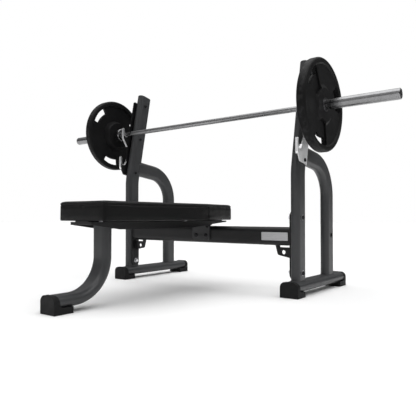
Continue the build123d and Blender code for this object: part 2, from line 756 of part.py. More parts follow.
# Pad bolts come up through the tray's deck and a spacer into a T-nut in the board.
deck_under = Plane.XY.offset(deck_z)
spacers = disc_set(
    Plane.XY.offset(TRAY_TOP_Z),
    PAD_BOLT_SPOTS,
    SPACER_RADIUS,
    M8_HOLE_RADIUS,
    PAD_BOTTOM_Z - TRAY_TOP_Z,
)
save("pad_spacers", spacers)
pad_washers = disc_set(
    deck_under, PAD_BOLT_SPOTS, M8_WASHER_RADIUS, M8_HOLE_RADIUS, -WASHER_THICK
)
save("pad_washers", pad_washers)
pad_bolts = bolt_set(
    deck_under.offset(-WASHER_THICK),
    PAD_BOLT_SPOTS,
    M8_RADIUS,
    M8_HEAD_RADIUS,
    M8_HEAD_HEIGHT,
    PAD_BOLT_LENGTH,
    out=-1,
)
save("pad_bolts", pad_bolts)
with BuildPart() as t_nuts:
    with BuildSketch(Plane.XY.offset(board_top_z)):
        with Locations(*PAD_BOLT_SPOTS):
            Circle(T_NUT_FLANGE_RADIUS)
    extrude(amount=-T_NUT_FLANGE_THICK)
    with BuildSketch(Plane.XY.offset(board_top_z)):
        with Locations(*PAD_BOLT_SPOTS):
            Circle(T_NUT_BARREL_RADIUS)
    extrude(amount=-T_NUT_LENGTH)
    with BuildSketch(Plane.XY.offset(board_top_z)):
        with Locations(*PAD_BOLT_SPOTS):
            Circle(M8_RADIUS)
    extrude(amount=-T_NUT_LENGTH, mode=Mode.SUBTRACT)
save("pad_t_nuts", t_nuts)


# ---------------------------------------------------------------- catches

def strip_line(catch, knee_z, tail):
    """Middle line of a wear strip: up the lip, over it, round the seat and up the ramp."""
    seat_y, seat_z = catch
    bowl_radius = CATCH_RADIUS + STRIP_THICK / 2
    lip_radius = (CATCH_LIP_THICK + STRIP_THICK) / 2
    back_y = seat_y - bowl_radius
    front_y = back_y - 2 * lip_radius
    crown_z = seat_z + CATCH_LIP_HEIGHT
    with BuildLine() as line:
        FilletPolyline(tail, (front_y, knee_z), (front_y, crown_z), radius=STRIP_BEND)
        CenterArc((front_y + lip_radius, crown_z), lip_radius, 180, -180)
        Line((back_y, crown_z), (back_y, seat_z))
        bowl = CenterArc((seat_y, seat_z), bowl_radius, 180, 90 + CATCH_RAMP_DEG)
        PolarLine(bowl @ 1, CATCH_RAMP_LENGTH, CATCH_RAMP_DEG)
    return line.line


upper_strip = strip_line(UPPER_CATCH, UPPER_KNEE_Z, UPPER_TAIL)
lower_strip = strip_line(LOWER_CATCH, LOWER_KNEE_Z, LOWER_TAIL)


def ramp_end(catch):
    """Top of a wear strip's ramp."""
    ramp = math.radians(CATCH_RAMP_DEG)
    bowl_radius = CATCH_RADIUS + STRIP_THICK / 2
    y = catch[0] + bowl_radius * math.sin(ramp) + CATCH_RAMP_LENGTH * math.cos(ramp)
    z = catch[1] - bowl_radius * math.cos(ramp) + CATCH_RAMP_LENGTH * math.sin(ramp)
    return (y, z)


for name, line in (("upper", upper_strip), ("lower", lower_strip)):
    with BuildPart() as strip:
        with BuildSketch(Plane.YZ.offset(UPRIGHT_OUTER_X)):
            trace(line, STRIP_THICK)
        extrude(amount=STRIP_WIDTH)
    save_pair(f"catch_strip_{name}", strip)

# Outline of the hook plate: its front edge is the two strips, joined by a waist.
with BuildSketch() as hook_outline:
    with BuildLine():
        add(upper_strip)
        Polyline(
            ramp_end(UPPER_CATCH),
            (lean_y(HOOK_FRONT_START_Z, HOOK_FRONT_AHEAD), HOOK_FRONT_START_Z),
            (lean_y(HOOK_TOP_FRONT_Z, HOOK_FRONT_AHEAD), HOOK_TOP_FRONT_Z),
            (lean_y(HOOK_TOP_REAR_Z, HOOK_REAR_AHEAD), HOOK_TOP_REAR_Z),
            (lean_y(HOOK_HEEL_Z, HOOK_REAR_AHEAD), HOOK_HEEL_Z),
            HOOK_TOE,
            LOWER_TAIL,
        )
        add(lower_strip)
        ThreePointArc(ramp_end(LOWER_CATCH), HOOK_WAIST, UPPER_TAIL)
    make_face()
    fillet(hook_outline.vertices().group_by(Axis.Y)[-1], HOOK_TOP_ROUND)
    trace(upper_strip, STRIP_THICK, mode=Mode.SUBTRACT)
    trace(lower_strip, STRIP_THICK, mode=Mode.SUBTRACT)

with BuildPart() as hook_plate:
    with BuildSketch(Plane.YZ.offset(UPRIGHT_OUTER_X)):
        add(hook_outline.sketch)
        with Locations(*HOOK_SCREW_SPOTS):
            Circle(SCREW_HOLE_RADIUS, mode=Mode.SUBTRACT)
    extrude(amount=HOOK_THICK)
save_pair("hook_plate", hook_plate)

# The bright guard covers the lower half of the hook plate, up to a slanting front edge.
guard_x = UPRIGHT_OUTER_X + HOOK_THICK
with BuildPart() as guard:
    with BuildSketch(Plane.YZ.offset(guard_x)):
        add(hook_outline.sketch)
        with BuildLine():
            Polyline(
                (LOWER_TAIL[0] - STRIP_THICK, HOOK_HEEL_Z - GUARD_TRIM),
                (lean_y(HOOK_HEEL_Z, HOOK_REAR_AHEAD), HOOK_HEEL_Z - GUARD_TRIM),
                (lean_y(GUARD_TOP_Z, HOOK_REAR_AHEAD) + GUARD_TRIM, GUARD_TOP_Z),
                (lean_y(GUARD_TOP_Z, GUARD_TOP_AHEAD), GUARD_TOP_Z),
                *GUARD_FRONT,
                close=True,
            )
        make_face(mode=Mode.INTERSECT)
        with Locations(HOOK_SCREW_SPOTS[0]):
            Circle(SCREW_HOLE_RADIUS, mode=Mode.SUBTRACT)
    extrude(amount=GUARD_THICK)
save_pair("hook_guard", guard)

# One screw goes through the guard, two through the hook plate alone.
guard_screws = bolt_set(
    Plane.YZ.offset(guard_x + GUARD_THICK),
    HOOK_SCREW_SPOTS[:1],
    M10_RADIUS,
    M10_HEAD_RADIUS,
    M10_HEAD_HEIGHT,
    guard_x + GUARD_THICK - UPRIGHT_INNER_X + M10_NUT_HEIGHT / 2,
)
plate_screws = bolt_set(
    Plane.YZ.offset(guard_x),
    HOOK_SCREW_SPOTS[1:],
    M10_RADIUS,
    M10_HEAD_RADIUS,
    M10_HEAD_HEIGHT,
    guard_x - UPRIGHT_INNER_X + M10_NUT_HEIGHT / 2,
)
save_group("hook_screws", [guard_screws.part, plate_screws.part], mirrored=True)
hook_nuts = nut_set(
    Plane.YZ.offset(UPRIGHT_INNER_X),
    HOOK_SCREW_SPOTS,
    M10_RADIUS,
    M10_NUT_RADIUS,
    M10_NUT_HEIGHT,
    out=-1,
)
save_group("hook_nuts", [hook_nuts.part], mirrored=True)


# ---------------------------------------------------------------- barbell

bar_axis = Axis((0, BAR_Y, BAR_Z), (1, 0, 0))
bar_section = Plane(origin=(0, BAR_Y, BAR_Z), x_dir=(1, 0, 0), z_dir=(0, -1, 0))
ring_x = OUTER_BUSHING_X + BUSHING_LENGTH + END_PLAY

# Half of the shaft, from its middle outwards: a shoulder stops each sleeve inboard.
with BuildPart() as shaft:
    with BuildSketch(bar_section):
        with BuildLine():
            Polyline(
                (0, 0),
                (0, SHAFT_RADIUS),
                (COLLAR_INNER_X - END_PLAY - SHOULDER_WIDTH, SHAFT_RADIUS),
                (COLLAR_INNER_X - END_PLAY - SHOULDER_WIDTH, SHOULDER_RADIUS),
                (COLLAR_INNER_X - END_PLAY, SHOULDER_RADIUS),
                (COLLAR_INNER_X - END_PLAY, SHAFT_RADIUS),
                (ring_x, SHAFT_RADIUS),
                (ring_x, RING_GROOVE_RADIUS),
                (ring_x + RING_THICK, RING_GROOVE_RADIUS),
                (ring_x + RING_THICK, SHAFT_RADIUS),
                (SHAFT_END_X - EDGE_BREAK, SHAFT_RADIUS),
                (SHAFT_END_X, SHAFT_RADIUS - EDGE_BREAK),
                (SHAFT_END_X, 0),
                close=True,
            )
        make_face()
    revolve(axis=bar_axis)
    mirror(about=Plane.YZ)
save("bar_shaft", shaft)


def turned(points):
    """Solid of revolution about the bar from (X, radius) points."""
    with BuildPart() as solid:
        with BuildSketch(bar_section):
            with BuildLine():
                Polyline(*points, close=True)
            make_face()
        revolve(axis=bar_axis)
    return solid


def ring(start_x, length, bore, radius):
    """Plain ring about the bar."""
    end_x = start_x + length
    return turned([(start_x, bore), (start_x, radius), (end_x, radius), (end_x, bore)])


sleeve = turned(
    [
        (COLLAR_INNER_X, SLEEVE_BORE_RADIUS),
        (COLLAR_INNER_X, COLLAR_RADIUS - EDGE_CHAMFER),
        (COLLAR_INNER_X + EDGE_CHAMFER, COLLAR_RADIUS),
        (COLLAR_OUTER_X - EDGE_CHAMFER, COLLAR_RADIUS),
        (COLLAR_OUTER_X, COLLAR_RADIUS - EDGE_CHAMFER),
        (COLLAR_OUTER_X, SLEEVE_RADIUS),
        (BAR_HALF_LENGTH - EDGE_CHAMFER, SLEEVE_RADIUS),
        (BAR_HALF_LENGTH, SLEEVE_RADIUS - EDGE_CHAMFER),
        (BAR_HALF_LENGTH, SLEEVE_BORE_RADIUS),
    ]
)
save_pair("sleeve", sleeve)

bushing_bore = SHAFT_RADIUS + RUNNING_GAP
inner_bushing = ring(COLLAR_INNER_X, BUSHING_LENGTH, bushing_bore, SLEEVE_BORE_RADIUS)
outer_bushing = ring(OUTER_BUSHING_X, BUSHING_LENGTH, bushing_bore, SLEEVE_BORE_RADIUS)
with BuildPart() as bushings:
    add([inner_bushing.part, outer_bushing.part])
save_pair("sleeve_bushings", bushings)

retaining_ring = ring(ring_x, RING_THICK, RING_GROOVE_RADIUS, RING_RADIUS)
save_pair("retaining_ring", retaining_ring)

with BuildPart() as end_disc:
    with BuildSketch(Plane.YZ.offset(END_DISC_X)):
        with Locations((BAR_Y, BAR_Z)):
            Circle(SLEEVE_BORE_RADIUS)
    extrude(amount=END_DISC_THICK)
    fillet(end_disc.faces().sort_by(Axis.X)[-1].edges(), EDGE_BREAK)
save_pair("sleeve_end_cap", end_disc)


# ---------------------------------------------------------------- weight plates

def ring_sector(x, inner, outer, middle_deg, half_span_deg, corner):
    """Rounded sector of a ring about the bar, on a plane of constant X."""
    first = middle_deg - half_span_deg
    span = 2 * half_span_deg
    with BuildSketch(Plane(origin=(x, BAR_Y, BAR_Z), x_dir=(0, 1, 0), z_dir=(1, 0, 0))) as sector:
        with BuildLine():
            low = CenterArc((0, 0), inner, first, span)
            high = CenterArc((0, 0), outer, first, span)
            Line(low @ 0, high @ 0)
            Line(low @ 1, high @ 1)
        make_face()
        fillet(sector.vertices(), corner)
    return sector.sketch


with BuildPart() as weight:
    with BuildSketch(bar_section):
        with BuildLine():
            Polyline(
                (RIM_INNER_X, PLATE_RADIUS - RIM_ROUND),
                (RIM_INNER_X, RIM_FLAT_RADIUS),
                (WEB_INNER_X, RIM_FOOT_RADIUS),
                (WEB_INNER_X, HUB_FOOT_RADIUS),
                (HUB_INNER_X + HUB_RECESS, HUB_FLAT_RADIUS),
                (HUB_INNER_X + HUB_RECESS, INSERT_RADIUS),
                (HUB_OUTER_X - HUB_RECESS, INSERT_RADIUS),
                (HUB_OUTER_X - HUB_RECESS, HUB_FLAT_RADIUS),
                (WEB_OUTER_X, HUB_FOOT_RADIUS),
                (WEB_OUTER_X, RIM_FOOT_RADIUS),
                (RIM_OUTER_X, RIM_FLAT_RADIUS),
                (RIM_OUTER_X, PLATE_RADIUS - RIM_ROUND),
            )
            Line((RIM_INNER_X + RIM_ROUND, PLATE_RADIUS), (RIM_OUTER_X - RIM_ROUND, PLATE_RADIUS))
            CenterArc((RIM_INNER_X + RIM_ROUND, PLATE_RADIUS - RIM_ROUND), RIM_ROUND, 90, 90)
            CenterArc((RIM_OUTER_X - RIM_ROUND, PLATE_RADIUS - RIM_ROUND), RIM_ROUND, 0, 90)
        make_face()
    revolve(axis=bar_axis)
    # Each grip slot goes right through the web, in a dish sunk in the outer face.
    for angle in SLOT_ANGLES_DEG:
        dish = ring_sector(
            DISH_FLOOR_X,
            DISH_INNER_RADIUS,
            RIM_FOOT_RADIUS + DISH_OVERLAP,
            angle,
            DISH_HALF_SPAN_DEG,
            DISH_CORNER,
        )
        extrude(dish, amount=PLATE_RADIUS, mode=Mode.SUBTRACT)
    for angle in SLOT_ANGLES_DEG:
        slot = ring_sector(
            WEB_INNER_X,
            SLOT_INNER_RADIUS,
            SLOT_OUTER_RADIUS,
            angle,
            SLOT_HALF_SPAN_DEG,
            SLOT_CORNER,
        )
        extrude(slot, amount=RIM_OUTER_X - WEB_INNER_X, mode=Mode.SUBTRACT)
save_pair("weight_plate", weight)

insert = turned(
    [
        (HUB_INNER_X, PLATE_BORE_RADIUS + EDGE_BREAK),
        (HUB_INNER_X, INSERT_RADIUS),
        (HUB_OUTER_X, INSERT_RADIUS),
        (HUB_OUTER_X, PLATE_BORE_RADIUS + EDGE_BREAK),
        (HUB_OUTER_X - EDGE_BREAK, PLATE_BORE_RADIUS),
        (HUB_INNER_X + EDGE_BREAK, PLATE_BORE_RADIUS),
    ]
)
save_pair("plate_hub", insert)
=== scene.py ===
"""Looks of an olympic bench press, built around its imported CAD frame.

Everything is in metres, in the frame of the CAD model: X along the barbell, Y from the
bench's foot end to the uprights, Z up.
"""

import json
import math

import bmesh
import bpy
import numpy as np
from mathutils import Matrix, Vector
from mathutils.bvhtree import BVHTree


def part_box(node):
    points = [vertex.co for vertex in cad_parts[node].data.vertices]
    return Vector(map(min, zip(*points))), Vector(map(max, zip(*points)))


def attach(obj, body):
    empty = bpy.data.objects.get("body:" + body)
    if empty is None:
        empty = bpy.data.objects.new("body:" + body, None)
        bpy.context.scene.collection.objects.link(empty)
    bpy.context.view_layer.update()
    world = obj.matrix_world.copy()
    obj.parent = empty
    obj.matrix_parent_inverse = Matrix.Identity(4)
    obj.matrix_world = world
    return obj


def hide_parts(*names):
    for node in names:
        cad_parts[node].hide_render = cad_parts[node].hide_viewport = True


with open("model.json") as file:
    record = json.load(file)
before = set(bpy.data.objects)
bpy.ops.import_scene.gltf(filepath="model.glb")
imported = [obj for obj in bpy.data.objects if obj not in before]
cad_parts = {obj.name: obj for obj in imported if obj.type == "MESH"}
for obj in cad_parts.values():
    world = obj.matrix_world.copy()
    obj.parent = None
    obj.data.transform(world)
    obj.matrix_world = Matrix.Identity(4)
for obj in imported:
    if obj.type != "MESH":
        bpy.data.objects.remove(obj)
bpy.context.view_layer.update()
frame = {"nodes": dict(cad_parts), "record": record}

NODES = frame["nodes"]
SLOT_OF_NODE = {part["node"]: part["material_slot"] for part in frame["record"]["subparts"]}

# ---- camera ----
CAMERA_AT = (1.6798, -1.9206, 0.3958)
CAMERA_YAW_DEG = 37.12
CAMERA_PITCH_DEG = 1.02
CAMERA_LENS_MM = 41.44
CAMERA_SENSOR_MM = 36.0

# ---- floor and light ----
FLOOR_HALF_SIZE = 30.0
FLOOR_COLOR = (0.92, 0.92, 0.92)
BACKDROP_RADIUS = 28.0
HORIZON_STRENGTH = 0.06
ZENITH_STRENGTH = 0.55
# name, direction from which it shines, strength, softness in degrees
SUNS = (
    ("top_light", (0.05, 0.0, 1.0), 2.35, 80.0),
    ("key_light", (1.0, 0.15, 0.8), 0.3, 35.0),
    ("front_fill", (-0.2, -1.0, 0.25), 0.25, 60.0),
)

# ---- frame joints that are welded ----
SIDE_X = 0.592
TUBE_STRAIGHT = 0.0225
TUBE_ROUND = 0.025
UPRIGHT_Y = 0.2635
UPRIGHT_KNEE_Z = 0.625
UPRIGHT_SLOPE = math.tan(math.radians(11))
REAR_LEG_Y = 0.6165
REAR_LEG_CORNER_Z = 0.6717
REAR_LEG_RISE = math.tan(math.radians(7))
BEAM_Z = 0.2955
BEAD_RADIUS = 0.0032
BEAD_SIDES = 8
BEAD_STEP = 0.0012
BEAD_PITCH = 0.0042
BEAD_RIPPLE = 0.22
OVAL_POINTS = 72
COPE_PASSES = 4

# ---- pad ----
# negative: the block stands proud of the CAD cushion
PAD_INSET = -0.0025
PAD_BOTTOM_DROP = 0.0025
PAD_CROWN = 0.0015
PAD_SHOULDER = 0.006
PAD_KNEE_Y = 0.1065
PAD_HEAD_HALF_WIDTH = 0.100
PAD_VOXEL = 0.005
PAD_PRESSURE = 1.5
PAD_SMOOTHING = 2
PAD_FRAMES = 20
PAD_TRAVEL_CAP = 0.0030
PAD_PINNED_HEIGHT = 0.006
PAD_CORNER_RADII = (0.008, 0.008, 0.010, 0.011, 0.011, 0.010)
PAD_LEAST_RADIUS = 0.004
# place in the list of corners of the one where the right side begins to taper
PAD_RIGHT_KNEE = 2
OUTLINE_STEP = 0.002
LEAST_TURNS = 3
CLOTH_QUALITY = 4
CLOTH_STIFFNESS = 25.0
CLOTH_BENDING = 2.0
# shortest travel that the cap divides by
LEAST_TRAVEL = 1e-9
SEAM_DROP = 0.013
SEAM_DEPTH = 0.0032
SEAM_HALF_WIDTH = 0.0026
SEAM_LINE = 0.0020
SEAM_REACH = 0.012
SEAM_CORNER_REACH = 0.03
# a face whose normal rises less than this is part of a side
SIDE_NORMAL_RISE = 0.75
STITCH_LENGTH = 0.0042
STITCH_PITCH = 0.0065
STITCH_RADIUS = 0.0006
STITCH_ABOVE_SEAM = 0.0055
STITCH_SIDES = 6
# how far a stitch's ends dive into the vinyl, as a share of its radius
STITCH_SINK = 0.6
STITCH_RAY_START = 0.03
STITCH_RAY_LENGTH = 0.06

# ---- barbell ----
BAR_Y = 0.2347
BAR_Z = 0.9296

# ---- edges of CAD nodes: start of the name, width of the bevel ----
ROUNDED_NODES = {
    "flange_plate": 0.0012,
    "hook_plate": 0.0012,
    "hook_guard": 0.0006,
    "band_gusset": 0.0012,
    "tray_bracket": 0.0012,
    "pad_tray": 0.0008,
    "badge_plate": 0.0004,
    "catch_strip": 0.0006,
    "weight_plate": 0.0010,
}
MERGE_DISTANCE = 0.00001
BEVEL_SEGMENTS = 2
BEVEL_ANGLE_DEG = 35.0


# ------------------------------------------------------------------ pad corners

def pad_corners(inset):
    """Corners of the pad in plan, anticlockwise, moved inwards."""
    low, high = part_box("pad_cushion")
    half = high.x - inset
    head = PAD_HEAD_HALF_WIDTH - inset
    return [
        Vector((-half, low.y + inset, 0.0)),
        Vector((half, low.y + inset, 0.0)),
        Vector((half, PAD_KNEE_Y, 0.0)),
        Vector((head, high.y - inset, 0.0)),
        Vector((-head, high.y - inset, 0.0)),
        Vector((-half, PAD_KNEE_Y, 0.0)),
    ]


def corner_tangent(corner):
    """Direction in plan along which a corner's two sides mirror each other."""
    corners = pad_corners(0.0)
    i = min(range(len(corners)), key=lambda k: (corners[k] - corner).length)
    to_last = (corners[i - 1] - corners[i]).normalized()
    to_next = (corners[(i + 1) % len(corners)] - corners[i]).normalized()
    tangent = (to_next - to_last).normalized()
    return tangent.x, tangent.y


# ------------------------------------------------------------------ node materials

class Finish:
    """A procedural material: one Principled shader fed by patterns in object space."""

    # sockets of a Mix node that mixes colours
    MIX_FIRST = 6
    MIX_SECOND = 7
    MIX_RESULT = 2
    # most of a noise pattern lies between these values
    NOISE_LOW = 0.3
    NOISE_HIGH = 0.7
    # 1 minus the cosine of the normal's turn, where an edge starts and at its core
    EDGE_TURN_LOW = 0.02
    EDGE_TURN_HIGH = 0.25
    EDGE_SAMPLES = 4

    def __init__(self, name, color, roughness, metallic=0.0, **sockets):
        self.material = bpy.data.materials.new(name)
        self.material.use_nodes = True
        self.tree = self.material.node_tree
        self.shader = self.tree.nodes["Principled BSDF"]
        self.shader.inputs["Metallic"].default_value = metallic
        for socket, value in sockets.items():
            self.shader.inputs[socket.replace("_", " ")].default_value = value
        self.roughness = roughness
        self.place = self.add("ShaderNodeTexCoord").outputs["Object"]
        self.color_out = self.rgb(color)
        self.roughness_out = None
        self.heights = []

    def add(self, kind, **values):
        """New node; values set its properties."""
        node = self.tree.nodes.new(kind)
        for key, value in values.items():
            setattr(node, key, value)
        return node

    def feed(self, socket, value):
        """Link an output to a socket, or set the socket to a plain value."""
        if isinstance(value, bpy.types.NodeSocket):
            self.tree.links.new(value, socket)
        else:
            socket.default_value = value

    def rgb(self, color):
        node = self.add("ShaderNodeRGB")
        node.outputs[0].default_value = (*color, 1.0)
        return node.outputs[0]

    def math(self, operation, first, second=0.0, third=0.0):
        node = self.add("ShaderNodeMath", operation=operation)
        for socket, value in zip(node.inputs, (first, second, third)):
            self.feed(socket, value)
        return node.outputs[0]

    def ramp(self, value, low, high, to_low=0.0, to_high=1.0):
        """Value from low..high turned smoothly into to_low..to_high."""
        node = self.add("ShaderNodeMapRange", interpolation_type="SMOOTHSTEP")
        for socket, given in zip(node.inputs, (value, low, high, to_low, to_high)):
            self.feed(socket, given)
        return node.outputs["Result"]

    def stretched(self, scales):
        """Object coordinates, scaled along each axis."""
        node = self.add("ShaderNodeMapping")
        self.feed(node.inputs["Vector"], self.place)
        node.inputs["Scale"].default_value = scales
        return node.outputs["Vector"]

    def noise(self, scale, detail=3.0, stretch=None, roughness=0.5):
        node = self.add("ShaderNodeTexNoise")
        self.feed(node.inputs["Vector"], self.stretched(stretch) if stretch else self.place)
        node.inputs["Scale"].default_value = scale
        node.inputs["Detail"].default_value = detail
        node.inputs["Roughness"].default_value = roughness
        return node.outputs["Fac"]

    def cells(self, scale, feature="F1"):
        node = self.add("ShaderNodeTexVoronoi", feature=feature)
        self.feed(node.inputs["Vector"], self.place)
        node.inputs["Scale"].default_value = scale
        return node.outputs["Distance"]

    def axis(self, name):
        node = self.add("ShaderNodeSeparateXYZ")
        self.feed(node.inputs[0], self.place)
        return node.outputs[name]

    def tint(self, mask, color):
        """Mix the colour so far towards another one by a mask."""
        node = self.add("ShaderNodeMix", data_type="RGBA")
        self.feed(node.inputs["Factor"], mask)
        self.feed(node.inputs[self.MIX_FIRST], self.color_out)
        self.feed(node.inputs[self.MIX_SECOND], (*color, 1.0))
        self.color_out = node.outputs[self.MIX_RESULT]

    def shade_by(self, mask, low, high):
        """Multiply the colour so far by a factor from low to high."""
        factor = self.ramp(mask, self.NOISE_LOW, self.NOISE_HIGH, low, high)
        node = self.add("ShaderNodeVectorMath", operation="SCALE")
        self.feed(node.inputs[0], self.color_out)
        self.feed(node.inputs["Scale"], factor)
        self.color_out = node.outputs[0]

    def vary_roughness(self, mask, spread):
        smoothest = self.roughness - spread
        roughest = self.roughness + spread
        self.roughness_out = self.ramp(
            mask, self.NOISE_LOW, self.NOISE_HIGH, smoothest, roughest
        )

    def rougher(self, mask, amount):
        self.roughness_out = self.math("MULTIPLY_ADD", mask, amount, self.roughness_out)

    def raise_by(self, height, distance, strength):
        """Add a bump: a pattern, how far it rises in metres, and how strongly it shows."""
        self.heights.append((height, distance, strength))

    def edge_mask(self, radius):
        """1 on sharp outer edges, broken up by noise, 0 elsewhere."""
        soft = self.add("ShaderNodeBevel", samples=self.EDGE_SAMPLES)
        soft.inputs["Radius"].default_value = radius
        flat = self.add("ShaderNodeNewGeometry")
        dot = self.add("ShaderNodeVectorMath", operation="DOT_PRODUCT")
        self.feed(dot.inputs[0], soft.outputs["Normal"])
        self.feed(dot.inputs[1], flat.outputs["Normal"])
        turned = self.math("SUBTRACT", 1.0, dot.outputs["Value"])
        mask = self.ramp(turned, self.EDGE_TURN_LOW, self.EDGE_TURN_HIGH)
        breaks = self.ramp(self.noise(scale=160.0), low=0.35, high=0.65)
        return self.math("MULTIPLY", mask, breaks)

    def wear_edges(self, radius, share, color):
        """Mix a colour in along the outer edges."""
        self.tint(self.math("MULTIPLY", self.edge_mask(radius), share), color)

    def done(self):
        """Connect everything to the shader and return the material."""
        self.feed(self.shader.inputs["Base Color"], self.color_out)
        if self.roughness_out is not None:
            self.feed(self.shader.inputs["Roughness"], self.roughness_out)
        normal = None
        for height, distance, strength in self.heights:
            bump = self.add("ShaderNodeBump")
            bump.inputs["Distance"].default_value = distance
            bump.inputs["Strength"].default_value = strength
            self.feed(bump.inputs["Height"], height)
            if normal is not None:
                self.feed(bump.inputs["Normal"], normal)
            normal = bump.outputs["Normal"]
        if normal is not None:
            self.feed(self.shader.inputs["Normal"], normal)
        return self.material


def powder_coat(name, color, roughness, worn, specular):
    """Baked powder coat: orange-peel skin, faint blotches, edges rubbed brighter."""
    paint = Finish(name, color, roughness, Specular_IOR_Level=specular)
    paint.shade_by(paint.noise(scale=9.0, detail=4.0), low=0.93, high=1.07)
    paint.shade_by(paint.noise(scale=1400.0, detail=1.0), low=0.94, high=1.06)
    paint.vary_roughness(paint.noise(scale=45.0, detail=5.0), spread=0.05)
    paint.wear_edges(radius=0.0014, share=0.4, color=worn)
    paint.raise_by(paint.noise(scale=420.0, detail=2.0), distance=0.00035, strength=0.30)
    return paint.done()


def moulded_rubber(name, color, roughness):
    """Matt rubber: fine stipple, dusty patches and scuffed edges."""
    rubber = Finish(name, color, roughness, Specular_IOR_Level=0.22)
    scuff_gain = 2.1
    scuffed = tuple(scuff_gain * c for c in color)
    rubber.shade_by(rubber.noise(scale=14.0, detail=5.0), low=0.86, high=1.16)
    rubber.shade_by(rubber.noise(scale=900.0, detail=2.0), low=0.9, high=1.1)
    rubber.vary_roughness(rubber.noise(scale=30.0, detail=4.0), spread=0.07)
    rubber.wear_edges(radius=0.0022, share=0.5, color=scuffed)
    rubber.raise_by(rubber.cells(scale=520.0), distance=0.0004, strength=0.35)
    return rubber.done()


def moulded_plastic(name, color, roughness):
    """Moulded plastic: a fine leathery grain and faint patches."""
    plastic = Finish(name, color, roughness)
    plastic.shade_by(plastic.noise(scale=60.0, detail=3.0), low=0.92, high=1.08)
    plastic.vary_roughness(plastic.noise(scale=140.0, detail=3.0), spread=0.06)
    plastic.raise_by(plastic.cells(scale=1500.0), distance=0.0002, strength=0.3)
    return plastic.done()


def brushed_metal(name, color, roughness, stretch):
    """Metal with fine scratches drawn out along one axis, and smudged patches."""
    metal = Finish(name, color, roughness, metallic=0.65)
    scratches = metal.noise(scale=60.0, detail=6.0, stretch=stretch, roughness=0.7)
    metal.shade_by(scratches, low=0.86, high=1.12)
    metal.vary_roughness(metal.noise(scale=25.0, detail=4.0), spread=0.06)
    metal.rougher(scratches, amount=0.10)
    metal.raise_by(scratches, distance=0.0002, strength=0.22)
    return metal.done()


def fastener_metal(name, color, roughness):
    """Plated fastener: slightly mottled, and smudged by handling."""
    metal = Finish(name, color, roughness, metallic=1.0)
    metal.shade_by(metal.noise(scale=220.0, detail=4.0), low=0.8, high=1.15)
    metal.vary_roughness(metal.noise(scale=300.0, detail=3.0), spread=0.08)
    metal.raise_by(metal.noise(scale=700.0, detail=2.0), distance=0.0001, strength=0.25)
    return metal.done()


def bar_coordinates(finish):
    """Distance along the bar, angle about it, and distance from its axis."""
    along = finish.axis("X")
    ahead = finish.math("SUBTRACT", finish.axis("Y"), BAR_Y)
    above = finish.math("SUBTRACT", finish.axis("Z"), BAR_Z)
    angle = finish.math("ARCTAN2", above, ahead)
    squares = finish.math("MULTIPLY_ADD", ahead, ahead, finish.math("MULTIPLY", above, above))
    return along, angle, finish.math("SQRT", squares)


def chrome_bar(name):
    """Hard chrome: knurled grips with two smooth ring marks, turned sleeves."""
    shaft_radius = 0.0145
    shaft_fade = 0.001
    knurl_pitch = 0.0018
    grips = ((0.110, 0.405), (0.411, 0.560))
    grip_fade = 0.0015
    worn_grip = (0.16, 0.16, 0.163)
    chrome = Finish(name, (0.27, 0.27, 0.275), 0.22, metallic=1.0)
    along, angle, radius = bar_coordinates(chrome)
    distance = chrome.math("ABSOLUTE", along)
    grip = 0.0
    for start, end in grips:
        rise = chrome.ramp(distance, start, start + grip_fade)
        fall = chrome.ramp(distance, end, end + grip_fade, 1.0, 0.0)
        grip = chrome.math("MULTIPLY_ADD", rise, fall, grip)
    on_shaft = chrome.ramp(radius, shaft_radius, shaft_radius + shaft_fade, 1.0, 0.0)
    grip = chrome.math("MULTIPLY", grip, on_shaft)
    turns = 2.0 * math.pi / knurl_pitch
    around = chrome.math("MULTIPLY", angle, round(turns * shaft_radius))
    waves = []
    for hand in (1.0, -1.0):
        slant = chrome.math("MULTIPLY_ADD", along, hand * turns, around)
        waves.append(chrome.math("ABSOLUTE", chrome.math("SINE", slant)))
    knurl = chrome.math("MULTIPLY", chrome.math("MULTIPLY", *waves), grip)
    turning = chrome.noise(scale=1.0, detail=4.0, stretch=(1800.0, 6.0, 6.0))
    chrome.shade_by(chrome.noise(scale=18.0, detail=4.0), low=0.93, high=1.05)
    chrome.tint(chrome.math("MULTIPLY", grip, 0.25), worn_grip)
    chrome.vary_roughness(chrome.noise(scale=40.0, detail=5.0), spread=0.04)
    chrome.rougher(grip, amount=0.12)
    chrome.rougher(turning, amount=0.03)
    chrome.raise_by(turning, distance=0.00003, strength=0.04)
    chrome.raise_by(knurl, distance=0.0004, strength=0.12)
    return chrome.done()


def turned_metal(name, color, roughness, groove):
    """Metal faced on a lathe: fine rings about the bar's axis."""
    metal = Finish(name, color, roughness, metallic=1.0)
    _, _, radius = bar_coordinates(metal)
    rings = metal.math("SINE", metal.math("MULTIPLY", radius, 2.0 * math.pi / groove))
    metal.shade_by(metal.noise(scale=90.0, detail=4.0), low=0.85, high=1.1)
    metal.vary_roughness(metal.noise(scale=60.0, detail=4.0), spread=0.06)
    metal.raise_by(rings, distance=0.00006, strength=0.3)
    return metal.done()


